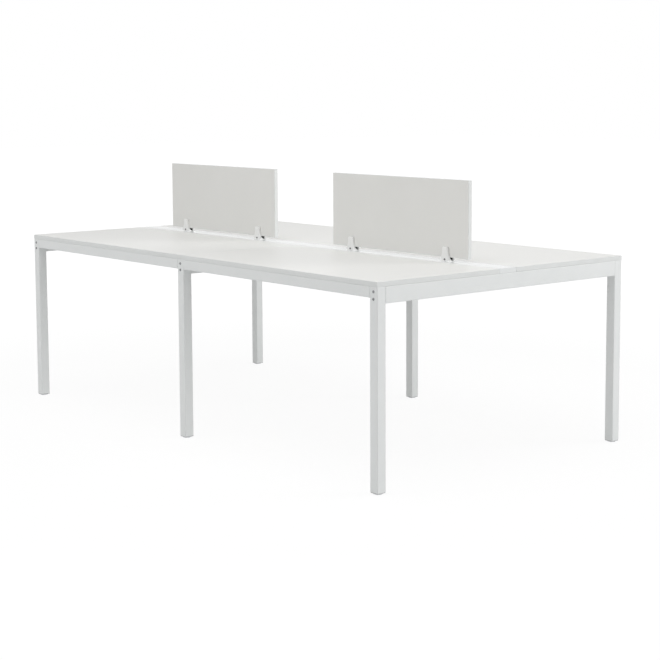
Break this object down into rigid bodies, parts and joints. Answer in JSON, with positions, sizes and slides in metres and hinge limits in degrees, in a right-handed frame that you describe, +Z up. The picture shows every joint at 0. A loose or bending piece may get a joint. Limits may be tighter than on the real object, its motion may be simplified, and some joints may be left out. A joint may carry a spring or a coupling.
{
  "type": "four-person workstation",
  "caption": "Bench desk with white tops on a bolted square tube frame, low clipped screens over the middle and screw-out levelling feet",
  "frame": {"origin": "on the floor under the middle of the desk", "axes": "+X along the desk, +Y from the front long side to the back one, +Z up"},
  "size_m": [2.4, 1.2966, 1.065],
  "materials": {
    "white_laminate": "satin",
    "white_edging": "satin",
    "white_coated_steel": "satin",
    "clip_coated_alloy": "satin",
    "black_rubber": "matte",
    "zinc_steel": "satin",
    "dark_steel": "satin",
    "grey_plastic": "matte",
    "foot_steel": "satin"
  },
  "bodies": {
    "desk": {"top_front_left": "white_laminate", "top_edging_front_left": "white_edging", "side_rail_front_left": "white_coated_steel", "top_front_right": "white_laminate", "top_edging_front_right": "white_edging", "side_rail_front_right": "white_coated_steel", "top_back_left": "white_laminate", "top_edging_back_left": "white_edging", "side_rail_back_left": "white_coated_steel", "top_back_right": "white_laminate", "top_edging_back_right": "white_edging", "side_rail_back_right": "white_coated_steel", "leg_front_left": "white_coated_steel", "leg_cap_front_left": "grey_plastic", "leg_front_middle": "white_coated_steel", "leg_cap_front_middle": "grey_plastic", "leg_front_right": "white_coated_steel", "leg_cap_front_right": "grey_plastic", "leg_back_left": "white_coated_steel", "leg_cap_back_left": "grey_plastic", "leg_back_middle": "white_coated_steel", "leg_cap_back_middle": "grey_plastic", "leg_back_right": "white_coated_steel", "leg_cap_back_right": "grey_plastic", "cross_rail_left": "white_coated_steel", "cross_rail_middle": "white_coated_steel", "cross_rail_right": "white_coated_steel", "centre_beam_left": "white_coated_steel", "screen_left": "white_laminate", "screen_edging_left": "white_edging", "centre_beam_right": "white_coated_steel", "screen_right": "white_laminate", "screen_edging_right": "white_edging", "clip_front_jaw_left_outer": "clip_coated_alloy", "clip_back_jaw_left_outer": "clip_coated_alloy", "clip_liner_left_outer": "black_rubber", "clip_front_jaw_left_inner": "clip_coated_alloy", "clip_back_jaw_left_inner": "clip_coated_alloy", "clip_liner_left_inner": "black_rubber", "clip_front_jaw_right_outer": "clip_coated_alloy", "clip_back_jaw_right_outer": "clip_coated_alloy", "clip_liner_right_outer": "black_rubber", "clip_front_jaw_right_inner": "clip_coated_alloy", "clip_back_jaw_right_inner": "clip_coated_alloy", "clip_liner_right_inner": "black_rubber", "leg_bolts": "zinc_steel", "nut_plates": "zinc_steel", "rail_stubs": "zinc_steel", "top_tabs": "white_coated_steel", "clip_screws": "dark_steel"},
    "foot_front_left": {"levelling_foot_front_left": "foot_steel"},
    "foot_front_middle": {"levelling_foot_front_middle": "foot_steel"},
    "foot_front_right": {"levelling_foot_front_right": "foot_steel"},
    "foot_back_left": {"levelling_foot_back_left": "foot_steel"},
    "foot_back_middle": {"levelling_foot_back_middle": "foot_steel"},
    "foot_back_right": {"levelling_foot_back_right": "foot_steel"}
  },
  "joints": [
    {"name": "level_front_left", "type": "slide", "parent": "desk", "child": "foot_front_left", "axis": [0, 0, 1], "range_m": [-0.015, 0]},
    {"name": "level_front_middle", "type": "slide", "parent": "desk", "child": "foot_front_middle", "axis": [0, 0, 1], "range_m": [-0.015, 0]},
    {"name": "level_front_right", "type": "slide", "parent": "desk", "child": "foot_front_right", "axis": [0, 0, 1], "range_m": [-0.015, 0]},
    {"name": "level_back_left", "type": "slide", "parent": "desk", "child": "foot_back_left", "axis": [0, 0, 1], "range_m": [-0.015, 0]},
    {"name": "level_back_middle", "type": "slide", "parent": "desk", "child": "foot_back_middle", "axis": [0, 0, 1], "range_m": [-0.015, 0]},
    {"name": "level_back_right", "type": "slide", "parent": "desk", "child": "foot_back_right", "axis": [0, 0, 1], "range_m": [-0.015, 0]}
  ]
}
